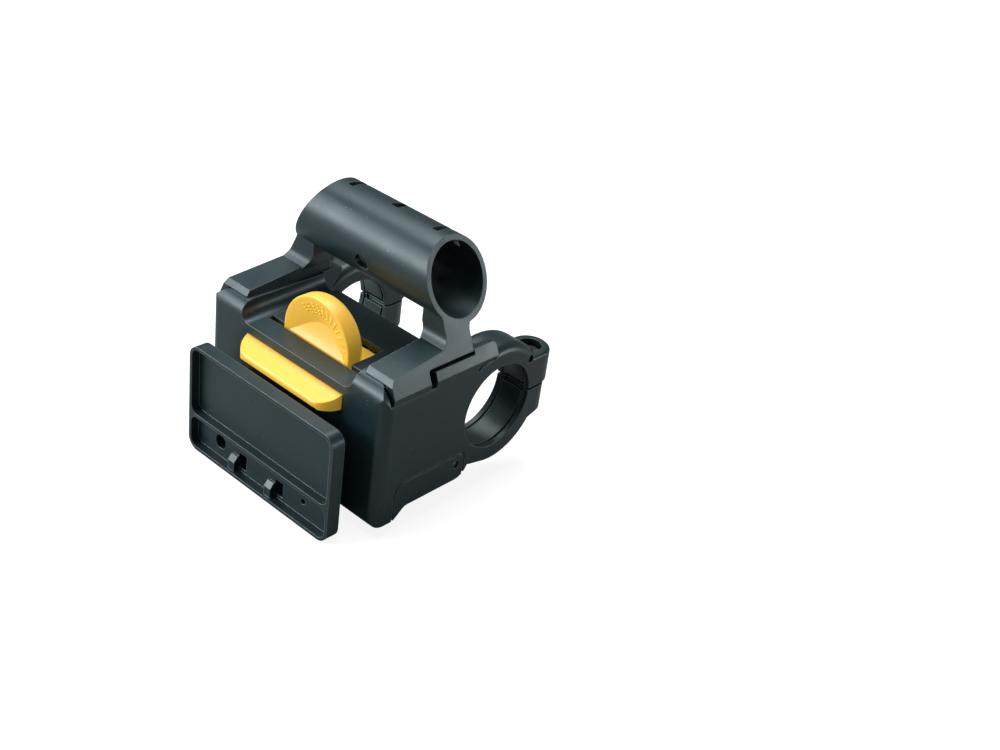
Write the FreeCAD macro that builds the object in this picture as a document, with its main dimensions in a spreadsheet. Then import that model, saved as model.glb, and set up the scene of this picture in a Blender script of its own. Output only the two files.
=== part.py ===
# Handlebar mount adapter: a box body with two hinged clamps for a round bar, a ribbed front plate
# that a bag frame slides over, a spring-loaded release latch and a tube bracket for accessories.
# Millimetres. The origin is on the bar's axis midway between the clamps, +X lies along the bar,
# +Y points back towards the rider and +Z points up.
import FreeCAD, Part
import math
import os
import Sketcher
from FreeCAD import Placement, Rotation, Vector

DRIVING_SIZES = [
    # the bar and its two clamps
    ("bar_diameter", 31.8, "round bar that the clamps hold"),
    ("clamp_span", 85.4, "overall width over both clamps"),
    ("clamp_width", 14.5, "width of one clamp"),
    ("split_gap", 1.0, "gap between the upper and the lower jaw"),
    ("upper_jaw_radius", 23.0, "crown of the upper jaw"),
    ("upper_jaw_rounding", 3.6, "rounded edges of the upper jaw"),
    ("lower_jaw_radius", 21.3, "outside of the lower jaw"),
    ("crown_end", 16.8, "edge behind the bar's axis where the crown drops to the ear"),
    ("ear_top", 13.0, "top of the upper ear, a half-round boss"),
    ("ear_rim_rounding", 1.3, "rounded rim of the upper ear"),
    ("lower_ear_centre", 21.0, "middle of the lower ear's half-round end"),
    ("lower_ear_depth", 10.5, "underside of the lower ear"),
    ("groove_inset", 1.9, "rim of the bore outside each grip groove"),
    ("groove_width", 0.8, "grip groove"),
    ("groove_depth", 0.7, "grip groove"),
    ("land_relief", 1.2, "widening of the split behind the bore between the grooves"),
    ("land_relief_reach", 17.5, "back end of that widening"),
    # hinge of the lower jaws
    ("pin_back", 17.7, "hinge pin in front of the bar's axis"),
    ("pin_drop", 16.7, "hinge pin below the bar's axis"),
    ("pin_diameter", 3.0, "hinge pin"),
    ("pin_recess", 0.9, "depth of each pin end in its hole"),
    ("pin_clearance", 0.05, "running clearance around the pin"),
    ("knuckle_radius", 6.3, "rounded cheek around the pin"),
    ("knuckle_gap", 0.3, "gap between cheek and jaw"),
    ("tongue_width", 7.0, "tongue of the lower jaw between the cheeks"),
    ("tongue_radius", 4.2, "round end of the tongue"),
    ("tongue_gap", 0.25, "gap on each side of the tongue"),
    ("cheek_edge", 12.6, "back edge of the cheeks in front of the bar's axis"),
    # clamp screws
    ("bolt_reach", 22.2, "screw axis behind the bar's axis"),
    ("bolt_diameter", 4.0, "clamp screw"),
    ("bolt_length", 12.0, "clamp screw under its head"),
    ("bolt_head_diameter", 7.0, "clamp screw head"),
    ("bolt_head_height", 4.0, "clamp screw head"),
    ("bolt_socket", 3.0, "hexagon socket across flats"),
    ("bolt_hole", 4.5, "hole in the ears"),
    ("seat_height", 6.0, "floor of the screw pocket"),
    ("pocket_diameter", 8.6, "screw pocket"),
    ("washer_diameter", 8.0, "washer"),
    ("washer_thickness", 0.8, "washer"),
    ("nut_width", 7.0, "nut across flats"),
    ("nut_thickness", 3.2, "nut"),
    ("nut_level", 1.8, "upper face of the nut below the bar's axis"),
    ("cross_hole", 3.0, "cross hole in the outer wall of the upper ear"),
    ("cross_hole_reach", 14.9, "cross hole behind the bar's axis"),
    ("cross_hole_height", 13.3, "cross hole above the bar's axis"),
    # box body
    ("front_reach", 54.4, "front face of the body"),
    ("back_wall", 17.7, "back face between the clamps"),
    ("top_height", 25.0, "top of the body"),
    ("bottom_depth", 23.0, "underside of the body"),
    ("foot_depth", 27.0, "underside of the front foot"),
    ("foot_length", 8.4, "front foot"),
    ("foot_run", 5.0, "slope behind the front foot"),
    ("shoulder_radius", 8.0, "rounding between side and top"),
    ("front_corner_radius", 4.0, "upright front corners"),
    ("top_edge_radius", 5.5, "front edge of the top"),
    ("bar_clearance", 1.3, "free space around the bar between the clamps"),
    ("bore_hole", 7.5, "screw access holes in the underside"),
    ("strip_top", 13.0, "upper edge of the plain bar on each side face, below the bar's axis"),
    ("strip_front", 45.9, "front end of the plain bar"),
    ("strip_back", 14.3, "back end of the plain bar"),
    ("strip_radius", 3.4, "corners of the plain bar"),
    ("strip_groove", 0.8, "groove around the plain bar"),
    ("strip_groove_depth", 0.5, "groove around the plain bar"),
    # tray in the top
    ("tray_wall", 15.6, "wall beside the tray"),
    ("tray_front_level", 18.6, "tray floor at the front"),
    ("tray_rise", 0.038, "rise of the tray floor per length"),
    ("tray_corner_radius", 4.0, "rounding between floor and walls"),
    # latch
    ("latch_travel", 5.0, "push of the latch"),
    ("latch_gap", 0.2, "clearance around the sliding latch"),
    ("wedge_margin", 0.8, "wedge bar beyond the latch cover on each side"),
    ("wedge_taper", 4.2, "narrowing of the wedge bar to its nose on each side"),
    ("wedge_corner_radius", 4.5, "rounded ends of the wedge bar"),
    ("wedge_back", 38.5, "back end of the wedge bar"),
    ("wedge_reach", 61.0, "nose of the wedge bar"),
    ("wedge_low", 9.6, "underside of the wedge bar"),
    ("wedge_high", 15.1, "top of the wedge bar at its root"),
    ("wedge_nose_height", 1.6, "height of the nose"),
    ("slide_inset", 3.1, "raised block inside the wedge bar on each side"),
    ("slide_level", 17.0, "top of the raised block"),
    ("slide_front", 46.0, "front face of the raised block"),
    ("slide_back", 31.0, "back face of the slide"),
    ("tab_gap", 0.5, "gap beside the round thumb tab in the cover's opening"),
    ("tab_centre_level", 20.0, "centre of the thumb tab"),
    ("tab_front", 45.3, "front face of the thumb tab"),
    ("tab_thickness", 8.3, "thumb tab"),
    ("tab_back_radius", 4.5, "rounded back edge of the thumb tab"),
    ("dish_rim", 2.5, "rim around the thumb dish"),
    ("dish_wall", 3.8, "slant of the dish's wall"),
    ("dish_depth", 4.0, "depth of the slanted wall"),
    ("ramp_radius", 25.0, "hollow ramp in the dish"),
    ("ramp_depth", 3.7, "deepest point of the ramp"),
    ("ramp_level", 30.6, "level of the deepest point"),
    # latch cover
    ("cover_inset", 4.7, "latch cover inside the tray on each side"),
    ("cover_front", 44.2, "front of the cover's tongues"),
    ("opening_inset", 6.1, "tongues of the cover beside the thumb tab"),
    ("cover_opening_back", 30.3, "back of the opening"),
    ("cover_underside", 17.2, "underside of the cover"),
    ("cover_skirt_low", 9.0, "lower edge of the cover's back wall"),
    ("cover_skirt", 1.9, "thickness of the cover's back wall"),
    ("cover_post_inset", 5.4, "screw posts inside the cover's sides"),
    ("cover_post_reach", 22.6, "screw posts of the cover"),
    ("cover_post_diameter", 6.0, "screw posts of the cover"),
    # springs
    ("spring_spacing", 17.0, "distance between the two springs"),
    ("spring_diameter", 5.0, "spring, outside"),
    ("spring_wire", 0.6, "spring wire"),
    ("spring_pitch", 2.6, "spring pitch"),
    ("spring_pocket", 3.0, "depth of the spring seats in the slide"),
    # front plate
    ("plate_width", 71.0, "front plate"),
    ("plate_high", 10.4, "upper edge of the front plate"),
    ("plate_low", 30.5, "lower edge of the front plate"),
    ("plate_reach", 68.4, "front of the plate"),
    ("plate_thickness", 5.1, "front plate"),
    ("plate_corner_radius", 4.5, "corners of the front plate"),
    ("rim_width", 1.2, "rim of the front plate"),
    ("recess_depth", 3.2, "recesses in the front plate"),
    ("recess_corner_radius", 3.0, "corners of the recesses"),
    ("rib_level", 16.0, "upper face of the rib below the bar's axis"),
    ("rib_thickness", 1.3, "rib between the recesses"),
    ("neck_width", 51.0, "neck between body and plate"),
    ("neck_high", 1.0, "top of the neck below the bar's axis"),
    ("neck_low", 29.0, "underside of the neck at the plate"),
    ("large_hole", 5.4, "round hole in the lower recess"),
    ("large_hole_place", 22.0, "round hole left of the middle"),
    ("small_hole", 2.2, "small hole in the lower recess"),
    ("small_hole_place", 20.4, "small hole right of the middle"),
    ("recess_hole_level", 23.4, "both holes below the bar's axis"),
    ("hook_spacing", 18.8, "distance between the two hooks"),
    ("hook_shift", 4.4, "middle of the two hooks left of the middle"),
    ("hook_width", 3.2, "hook"),
    ("hook_window", 4.0, "window beside each hook"),
    # accessory bracket
    ("tube_diameter", 26.6, "accessory tube"),
    ("tube_bore", 22.9, "bore of the accessory tube"),
    ("tube_back", 14.8, "tube axis in front of the bar's axis"),
    ("tube_level", 47.7, "tube axis above the bar's axis"),
    ("tube_inset", 11.9, "ends of the tube's axis inside the clamps' outer faces"),
    ("end_slope", 0.452, "slant of the tube ends and flanges"),
    ("stem_inset", 16.4, "inner face of each stem inside the clamps' outer faces"),
    ("stem_front", 24.5, "front of the stems"),
    ("stem_thickness", 10.6, "stems along the tube's short side"),
    ("pad_inset", 13.8, "inner edge of each pad inside the clamps' outer faces"),
    ("pad_front", 50.6, "front of the pads"),
    ("pad_front_height", 2.1, "height of the pads at the front"),
    ("pad_back_height", 4.3, "height of the pads at the stems"),
    ("pad_chamfer", 1.3, "slanted front of the pads"),
    ("flange_thickness", 4.3, "flanges beside the body"),
    ("flange_low", 19.3, "lower edge of the flanges"),
    ("flange_length", 16.0, "flanges"),
    ("rebate_gap", 1.2, "gap in front of the flanges"),
    ("lug_gap", 2.8, "gap behind the flanges"),
    ("lug_level", 24.4, "top of the low part of each lug"),
    ("lug_back_level", 26.2, "top of the high part of each lug"),
    ("lug_step_gap", 0.3, "gap between the back of the pad and the lug's high part"),
    ("lug_end", 3.2, "back end of the lug"),
    ("lug_slit", 1.5, "depth of the slit under the back of each lug"),
    ("strip_gap", 1.3, "gap between the bracket and the low lug"),
    ("spigot_diameter", 7.0, "locating studs under the pads"),
    ("spigot_length", 9.0, "locating studs under the pads"),
    ("spigot_inset", 8.7, "locating studs inside the clamps' outer faces"),
    ("spigot_front", 41.0, "locating studs in front of the bar's axis"),
    ("spigot_gap", 0.1, "clearance around the locating studs"),
    ("tube_hole", 6.0, "round hole in the front of the tube"),
    ("tube_slot", 2.7, "strap slots near the ends of the tube"),
    ("tube_slot_inset", 11.1, "strap slots inside the ends of the tube's axis"),
    ("tube_window", 3.6, "small window on top of the tube"),
    # plastic screws from below
    ("screw_diameter", 3.0, "thread-forming screws"),
    ("screw_length", 12.0, "thread-forming screws under the head"),
    ("screw_head_diameter", 6.0, "thread-forming screws"),
    ("screw_head_height", 2.2, "thread-forming screws"),
    ("screw_slot_depth", 1.2, "cross drive of the screws"),
]

doc = FreeCAD.newDocument("mount_adapter")
sheet = doc.addObject("Spreadsheet::Sheet", "Sizes")
for row, (alias, value, note) in enumerate(DRIVING_SIZES, start=1):
    sheet.set(f"A{row}", note)
    sheet.set(f"B{row}", str(value))
    sheet.setAlias(f"B{row}", alias)
doc.recompute()


class Size:
    """A length with its value and the sheet expression that gives it."""

    def __init__(self, value, text):
        self.value = float(value)
        self.text = text

    def combine(self, other, sign, flip=False):
        other = as_size(other)
        first, second = (other, self) if flip else (self, other)
        values = {
            "+": first.value + second.value,
            "-": first.value - second.value,
            "*": first.value * second.value,
            "/": first.value / second.value if second.value else 0.0,
        }
        return Size(values[sign], f"({first.text} {sign} {second.text})")

    def __add__(self, other):
        return self.combine(other, "+")

    def __radd__(self, other):
        return self.combine(other, "+", flip=True)

    def __sub__(self, other):
        return self.combine(other, "-")

    def __rsub__(self, other):
        return self.combine(other, "-", flip=True)

    def __mul__(self, other):
        return self.combine(other, "*")

    def __rmul__(self, other):
        return self.combine(other, "*", flip=True)

    def __truediv__(self, other):
        return self.combine(other, "/")

    def __neg__(self):
        return Size(-self.value, f"(-1 * {self.text})")


def as_size(value):
    return value if isinstance(value, Size) else Size(value, f"({float(value):.9g})")


class Sizes:
    """The driving sizes by name."""


s = Sizes()
for alias, value, note in DRIVING_SIZES:
    setattr(s, alias, Size(sheet.get(alias), f"Sizes.{alias}"))

# values that several pieces share
bar_radius = s.bar_diameter / 2
clamp_outside = s.clamp_span / 2
clamp_inside = clamp_outside - s.clamp_width
clamp_middle = clamp_outside - s.clamp_width / 2
pin_y = -s.pin_back
pin_z = -s.pin_drop
front_y = -s.front_reach
back_y = -s.back_wall
tube_y = -s.tube_back
tube_half = clamp_outside - s.tube_inset
flange_inside = clamp_outside - s.flange_thickness
spigot_x = clamp_outside - s.spigot_inset
half_tray = clamp_outside - s.tray_wall
cover_half = half_tray - s.cover_inset
opening_half = cover_half - s.opening_inset
root_half = cover_half + s.wedge_margin
slide_half = root_half - s.slide_inset
far = 120.0

PLANES = {
    "XY": (Vector(1, 0, 0), Vector(0, 1, 0), Vector(0, 0, 1), "z"),
    "XZ": (Vector(1, 0, 0), Vector(0, 0, 1), Vector(0, -1, 0), "y"),
    "YZ": (Vector(0, 1, 0), Vector(0, 0, 1), Vector(1, 0, 0), "x"),
}
AXES = {"X": Vector(1, 0, 0), "Y": Vector(0, 1, 0), "Z": Vector(0, 0, 1)}


def bind(thing, name, value):
    thing.setExpression(name, as_size(value).text)


def place(thing, x, y, z, rotation=None):
    thing.Placement = Placement(Vector(as_size(x).value, as_size(y).value, as_size(z).value),
                                rotation or Rotation())
    for letter, value in zip("xyz", (x, y, z)):
        bind(thing, f"Placement.Base.{letter}", value)


def box(name, x0, x1, y0, y1, z0, z1):
    block = doc.addObject("Part::Box", name)
    bind(block, "Length", x1 - as_size(x0))
    bind(block, "Width", y1 - as_size(y0))
    bind(block, "Height", z1 - as_size(z0))
    place(block, x0, y0, z0)
    return block


def rod(name, radius, axis, start, length):
    """A cylinder along +X, +Y or +Z from its start point."""
    cylinder = doc.addObject("Part::Cylinder", name)
    bind(cylinder, "Radius", radius)
    bind(cylinder, "Height", length)
    place(cylinder, *start, rotation=Rotation(Vector(0, 0, 1), AXES[axis]))
    return cylinder


def hexagon(name, across_flats, start, length):
    """An upright hexagonal prism."""
    prism = doc.addObject("Part::Prism", name)
    prism.Polygon = 6
    bind(prism, "Circumradius", as_size(across_flats) / math.sqrt(3))
    bind(prism, "Height", length)
    place(prism, *start)
    return prism


def outline(name, plane, corners, offset=0.0):
    """A closed sketch through its corners, each (across, up) or (across, up, radius)."""
    across_axis, up_axis, normal, letter = PLANES[plane]
    sketch = doc.addObject("Sketcher::SketchObject", name)
    sketch.Placement = Placement(Vector(), Rotation(across_axis, up_axis, normal, "ZXY"))
    bind(sketch, f"Placement.Base.{letter}", offset)
    points = [Vector(as_size(c[0]).value, as_size(c[1]).value, 0) for c in corners]
    count = len(points)
    starts, ends, arcs = list(points), list(points), {}
    for i, corner in enumerate(corners):
        if len(corner) < 3:
            continue
        radius = as_size(corner[2]).value
        inward = (points[i - 1] - points[i]).normalize()
        onward = (points[(i + 1) % count] - points[i]).normalize()
        half = inward.getAngle(onward) / 2
        reach = radius / math.tan(half)
        ends[i] = points[i] + inward * reach
        starts[i] = points[i] + onward * reach
        centre = points[i] + (inward + onward).normalize() * (radius / math.sin(half))
        turns_left = inward.cross(onward).z < 0
        arcs[i] = (centre, radius, turns_left)
    lines = {}
    for i in range(count):
        lines[i] = sketch.addGeometry(Part.LineSegment(starts[i], ends[(i + 1) % count]), False)
    for i, corner in enumerate(corners):
        before, after = lines[(i - 1) % count], lines[i]
        if i not in arcs:
            sketch.addConstraint(Sketcher.Constraint("Coincident", before, 2, after, 1))
            anchor = (after, 1)
        else:
            centre, radius, turns_left = arcs[i]
            first, last = (ends[i], starts[i]) if turns_left else (starts[i], ends[i])
            first_angle = math.atan2(first.y - centre.y, first.x - centre.x)
            last_angle = math.atan2(last.y - centre.y, last.x - centre.x)
            circle = Part.Circle(centre, Vector(0, 0, 1), radius)
            arc = sketch.addGeometry(Part.ArcOfCircle(circle, first_angle, last_angle), False)
            point = sketch.addGeometry(Part.Point(points[i]), True)
            arc_in, arc_out = (1, 2) if turns_left else (2, 1)
            sketch.addConstraint(Sketcher.Constraint("Tangent", before, 2, arc, arc_in))
            sketch.addConstraint(Sketcher.Constraint("Tangent", arc, arc_out, after, 1))
            sketch.addConstraint(Sketcher.Constraint("PointOnObject", point, 1, before))
            sketch.addConstraint(Sketcher.Constraint("PointOnObject", point, 1, after))
            number = sketch.addConstraint(Sketcher.Constraint("Radius", arc, radius))
            bind(sketch, f"Constraints[{number}]", corner[2])
            anchor = (point, 1)
        for kind, value in (("DistanceX", corner[0]), ("DistanceY", corner[1])):
            constraint = Sketcher.Constraint(kind, -1, 1, *anchor, as_size(value).value)
            bind(sketch, f"Constraints[{sketch.addConstraint(constraint)}]", value)
    return sketch


def extrude(sketch, length, direction=None):
    """A solid from a sketch, along its normal or along another direction."""
    solid = doc.addObject("Part::Extrusion", sketch.Name + "_solid")
    solid.Base = sketch
    solid.Solid = True
    if direction is None:
        solid.DirMode = "Normal"
    else:
        solid.DirMode = "Custom"
        solid.Dir = direction
    bind(solid, "LengthFwd", length)
    return solid


def slab(name, plane, corners, low, high):
    """A solid with an outline, between two levels along the plane's axis."""
    length = high - as_size(low)
    if plane == "XZ":
        return extrude(outline(name, plane, corners, offset=high), length)
    return extrude(outline(name, plane, corners, offset=low), length)


def turned(name, profile, axis, base):
    """A solid of revolution about an axis of the frame's direction."""
    solid = doc.addObject("Part::Revolution", name)
    solid.Source = profile
    solid.Axis = AXES[axis]
    solid.Base = base
    solid.Angle = 360.0
    solid.Solid = True
    return solid


def fuse(name, *shapes):
    joined = doc.addObject("Part::MultiFuse", name)
    joined.Shapes = list(shapes)
    joined.Refine = True
    return joined


def cut(name, base, *tools):
    result = doc.addObject("Part::Cut", name)
    result.Base = base
    result.Tool = tools[0] if len(tools) == 1 else fuse(name + "_tools", *tools)
    result.Refine = True
    return result


def common(name, *shapes):
    shared = doc.addObject("Part::MultiCommon", name)
    shared.Shapes = list(shapes)
    shared.Refine = True
    return shared


def mirrored(name, source):
    """The same piece on the other side of the middle."""
    copy = doc.addObject("Part::Mirroring", name)
    copy.Source = source
    copy.Normal = AXES["X"]
    return copy


pieces = []


def piece(label, thing):
    """Marks a finished sub-part."""
    thing.Label = label
    pieces.append(thing)
    return thing


def lean(level):
    """Half width at a level between the two slanted end planes."""
    return tube_half - s.end_slope * (level - s.tube_level)


def slant_trim(name):
    """The space between the two slanted end planes, no wider than the clamps."""
    knee = s.tube_level - s.tube_inset / s.end_slope
    top = s.tube_level + s.tube_diameter / 2 + 2
    corners = [(-clamp_outside, -10), (clamp_outside, -10), (clamp_outside, knee), (lean(top), top),
               (-lean(top), top), (-clamp_outside, knee)]
    return slab(name, "XZ", corners, -far, far)


# housing: body

shoulder = [(-clamp_outside, -60), (clamp_outside, -60),
            (clamp_outside, s.top_height, s.shoulder_radius),
            (-clamp_outside, s.top_height, s.shoulder_radius)]
plan = [(-clamp_outside, front_y, s.front_corner_radius), (clamp_outside, front_y, s.front_corner_radius),
        (clamp_outside, 40), (-clamp_outside, 40)]
foot_back = front_y + s.foot_length
body_side = slab("body_side", "YZ", [
    (front_y, -s.foot_depth, 2.0),
    (foot_back, -s.foot_depth, 1.5),
    (foot_back + s.foot_run, -s.bottom_depth, 3.0),
    (pin_y, -s.bottom_depth),
    (-s.cheek_edge, pin_z),
    (-s.cheek_edge, 18.0),
    (-7.0, s.top_height, 1.5),
    (front_y, s.top_height, s.top_edge_radius),
], -clamp_outside, clamp_outside)
knuckle = rod("knuckle", s.knuckle_radius, "X", (-clamp_outside, pin_y, pin_z), s.clamp_span)
body_full = fuse("body_full", body_side, knuckle)
body = common("body", body_full,
              slab("body_shoulders", "XZ", shoulder, -70, 40),
              slab("body_plan", "XY", plan, -60, 60))
middle_clear = box("middle_clear", -clamp_inside, clamp_inside, back_y, far, -far, far)
body = cut("body_cleared", body, middle_clear)

# housing: upper jaws, turned rings with rounded edges and a half-round ear at the back

def upper_jaw(name):
    ring_profile = outline(name + "_ring_profile", "XY", [
        (clamp_inside, 5.0),
        (clamp_outside, 5.0),
        (clamp_outside, s.upper_jaw_radius, s.upper_jaw_rounding),
        (clamp_inside, s.upper_jaw_radius, s.upper_jaw_rounding),
    ])
    ring = turned(name + "_ring", ring_profile, "X", Vector())
    crown = slab(name + "_crown", "YZ", [
        (-30.0, -s.cheek_edge + 4), (0.0, s.split_gap), (s.crown_end, s.split_gap), (s.crown_end, 60.0),
        (-30.0, 60.0),
    ], clamp_inside, clamp_outside)
    bridge = slab(name + "_bridge", "XZ", [
        (clamp_inside, s.split_gap), (clamp_outside, s.split_gap),
        (clamp_outside, s.ear_top, s.ear_rim_rounding), (clamp_inside, s.ear_top, s.ear_rim_rounding),
    ], 8.0, s.bolt_reach)
    boss_profile = outline(name + "_boss_profile", "XZ", [
        (clamp_middle, s.split_gap), (clamp_outside, s.split_gap),
        (clamp_outside, s.ear_top, s.ear_rim_rounding), (clamp_middle, s.ear_top),
    ], offset=s.bolt_reach)
    boss = turned(name + "_boss", boss_profile, "Z", Vector(clamp_middle.value, s.bolt_reach.value, 0))
    return fuse(name + "_joined", common(name + "_ring_half", ring, crown), bridge, boss)


jaw_right = upper_jaw("upper_jaw")
jaw_left = mirrored("upper_jaw_mirror", jaw_right)

# housing: lugs that hold the bracket's flanges from behind, within the slanted planes

pad_front_y = -s.pad_front
flange_back_y = pad_front_y + s.flange_length
lug_front = flange_back_y + s.lug_gap
stem_back_y = -s.stem_front + s.stem_thickness
pad_back_y = stem_back_y
lug_step_y = pad_back_y + s.lug_step_gap
lug_side = slab("lug_side", "YZ", [
    (lug_front, 12.0), (lug_front, s.lug_level),
    (lug_step_y, s.lug_level), (lug_step_y, s.lug_back_level),
    (-s.lug_end, s.lug_back_level, 2.0), (-s.lug_end, s.lug_back_level - 6.0, 1.5),
    (-s.lug_end - 7.0, s.lug_back_level - 6.4), (-s.lug_end - 9.0, 12.0),
], -clamp_outside, clamp_outside)
lug_inner = box("lug_inner", -flange_inside, flange_inside, -far, far, 0, far)
lugs = common("lugs", cut("lug_sides", lug_side, lug_inner), slant_trim("lug_trim"))

# housing: front plate on its neck

plate_y = -s.plate_reach
plate_back_y = plate_y + s.plate_thickness
half_plate = s.plate_width / 2
plate = slab("plate", "XZ", [
    (-half_plate, -s.plate_low, s.plate_corner_radius), (half_plate, -s.plate_low, s.plate_corner_radius),
    (half_plate, s.plate_high, s.plate_corner_radius), (-half_plate, s.plate_high, s.plate_corner_radius),
], plate_y, plate_back_y)


def recess(name, low, high):
    side = half_plate - s.rim_width
    corners = [(-side, low), (side, low), (side, high), (-side, high)]
    return slab(name, "XZ", [(*c, s.recess_corner_radius) for c in corners], plate_y - 1, plate_y + s.recess_depth)


upper_recess = recess("upper_recess", -s.rib_level, s.plate_high - s.rim_width)
lower_recess = recess("lower_recess", -s.plate_low + s.rim_width, -s.rib_level - s.rib_thickness)
neck = slab("neck", "YZ", [
    (plate_back_y - 0.5, -s.neck_low), (front_y + 0.5, 1.0 - s.foot_depth),
    (front_y + 0.5, -s.neck_high), (plate_back_y - 0.5, -s.neck_high),
], -s.neck_width / 2, s.neck_width / 2)
recess_floor_y = plate_y + s.recess_depth
hooks, windows = [], []
for side in (-1, 1):
    hook_x = -s.hook_shift + side * s.hook_spacing / 2
    low = -s.plate_low + s.rim_width
    name = "left" if side < 0 else "right"
    hooks.append(slab("hook_" + name, "YZ", [
        (recess_floor_y + 1.0, low - 0.5), (recess_floor_y + 1.0, low + 5.4), (recess_floor_y - 0.6, low + 5.4),
        (recess_floor_y - 2.2, low + 3.4), (recess_floor_y - 2.2, low - 0.5),
    ], hook_x - s.hook_width / 2, hook_x + s.hook_width / 2))
    windows.append(box("window_" + name, hook_x + s.hook_width / 2, hook_x + s.hook_width / 2 + s.hook_window,
                       recess_floor_y - 1.0, plate_back_y + 2.0, low + 1.4, low + 7.0))
large_hole = rod("large_hole_tool", s.large_hole / 2, "Y",
                 (-s.large_hole_place, plate_y, -s.recess_hole_level), s.plate_thickness + 4)
small_hole = rod("small_hole_tool", s.small_hole / 2, "Y",
                 (s.small_hole_place, plate_y, -s.recess_hole_level), s.plate_thickness + 4)

# housing: spaces inside

bore = rod("bore", bar_radius, "X", (-far, 0, 0), 2 * far)
groove_tools = []
for side in (-1, 1):
    for end in (clamp_inside + s.groove_inset, clamp_outside - s.groove_inset - s.groove_width):
        start = end if side > 0 else -end - s.groove_width
        groove_tools.append(rod(f"groove_{len(groove_tools)}", bar_radius + s.groove_depth, "X",
                                (start, 0, 0), s.groove_width))
grooves = fuse("grooves", *groove_tools)
relief = rod("bar_relief", bar_radius + s.bar_clearance, "X", (-clamp_inside, 0, 0), clamp_inside * 2)

tray_profile = outline("tray", "XZ", [
    (-half_tray, 60.0), (-half_tray, s.tray_front_level, s.tray_corner_radius),
    (half_tray, s.tray_front_level, s.tray_corner_radius), (half_tray, 60.0),
], offset=front_y)
tray_profile.Placement.Base = Vector(0, front_y.value, 0)
tray = extrude(tray_profile, far, direction=Vector(0, 1, s.tray_rise.value))
tray_front = box("tray_front", -half_tray + s.tray_corner_radius, half_tray - s.tray_corner_radius,
                 front_y - 1, front_y, s.tray_front_level, 60)

slot_half = root_half + s.latch_gap
wall_inner_y = -s.slide_front - s.latch_gap
pocket_low = box("pocket_low", -slot_half, slot_half, front_y - 1, back_y + 1,
                 s.wedge_low - s.latch_gap, s.wedge_high + s.latch_gap)
pocket_high = box("pocket_high", -cover_half - 0.1, cover_half + 0.1, wall_inner_y, back_y + 1,
                  s.wedge_high, far)
rail_inner = slide_half + s.latch_gap * 2
rails = []
for side in (-1, 1):
    low_x, high_x = (rail_inner, slot_half + 0.5) if side > 0 else (-slot_half - 0.5, -rail_inner)
    rails.append(box("rail_left" if side < 0 else "rail_right", low_x, high_x,
                     -s.slide_back - 1.2, back_y, s.wedge_low - 0.5, s.cover_underside))
pocket = cut("pocket", fuse("pocket_levels", pocket_low, pocket_high), *rails)

# housing: screw pockets in the ears, tongue slots, pin holes and access holes


def both_sides(name, maker):
    """A tool on the right-hand side and its mirror image on the left."""
    right = maker(name)
    return fuse(name + "_pair", right, mirrored(name + "_left", right))


screw_pocket = both_sides("screw_pocket", lambda n: rod(
    n, s.pocket_diameter / 2, "Z", (clamp_middle, s.bolt_reach, s.seat_height), far))
screw_way = both_sides("screw_way", lambda n: rod(
    n, s.bolt_hole / 2, "Z", (clamp_middle, s.bolt_reach, -1), s.seat_height + 2))
cross_way = both_sides("cross_way", lambda n: rod(
    n, s.cross_hole / 2, "X", (clamp_middle, s.cross_hole_reach, s.cross_hole_height), s.clamp_width))
slot_side = s.tongue_width / 2 + s.tongue_gap
slot_front_y = pin_y - s.tongue_radius - 2 * s.tongue_gap
tongue_slot = both_sides("tongue_slot", lambda n: box(
    n, clamp_middle - slot_side, clamp_middle + slot_side, slot_front_y, 0, -40,
    pin_z + s.tongue_radius + 2 * s.tongue_gap))
pin_way = both_sides("pin_way", lambda n: rod(
    n, s.pin_diameter / 2, "X", (clamp_inside - 1, pin_y, pin_z), s.clamp_width + 2))
spigot_way = both_sides("spigot_way", lambda n: rod(
    n, s.spigot_diameter / 2 + s.spigot_gap, "Z",
    (spigot_x, -s.spigot_front, s.top_height - s.spigot_length - s.spigot_gap), far))
spigot_floor = s.top_height - s.spigot_length - s.spigot_gap
screw_seat_depth = 3.0
spigot_screw_way = both_sides("spigot_screw_way", lambda n: rod(
    n, s.screw_diameter / 2 + 0.2, "Z", (spigot_x, -s.spigot_front, 0), spigot_floor + 1))
spigot_access = both_sides("spigot_access", lambda n: rod(
    n, s.bore_hole / 2, "Z", (spigot_x, -s.spigot_front, -40), spigot_floor - screw_seat_depth + 40))
post_x = cover_half - s.cover_post_inset
post_floor = s.wedge_low - s.latch_gap
post_screw_way = both_sides("post_screw_way", lambda n: rod(
    n, s.screw_diameter / 2 + 0.2, "Z", (post_x, -s.cover_post_reach, 0), post_floor + 1))
post_access = both_sides("post_access", lambda n: rod(
    n, s.bore_hole / 2, "Z", (post_x, -s.cover_post_reach, -40), post_floor - screw_seat_depth + 40))

# housing: rebates beside the top that take the bracket's flanges

rebate_front = pad_front_y - s.rebate_gap
rebate = both_sides("rebate", lambda n: box(
    n, flange_inside - 0.2, far, rebate_front, lug_front, s.flange_low - 0.1, far))

# housing: a groove around the plain bar on each side face, a slit under each lug, a wider split


def strip_plate(name, grow):
    """The plain bar's outline on the right-hand side face, grown by a distance."""
    edge = -s.strip_front - grow
    back = -s.strip_back + grow
    high = -s.strip_top + grow
    return slab(name, "YZ", [
        (edge, -far), (edge, high, s.strip_radius + grow), (back, high, s.strip_radius - 1.0 + grow), (back, -far),
    ], clamp_outside - s.strip_groove_depth, clamp_outside + 1)


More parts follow.
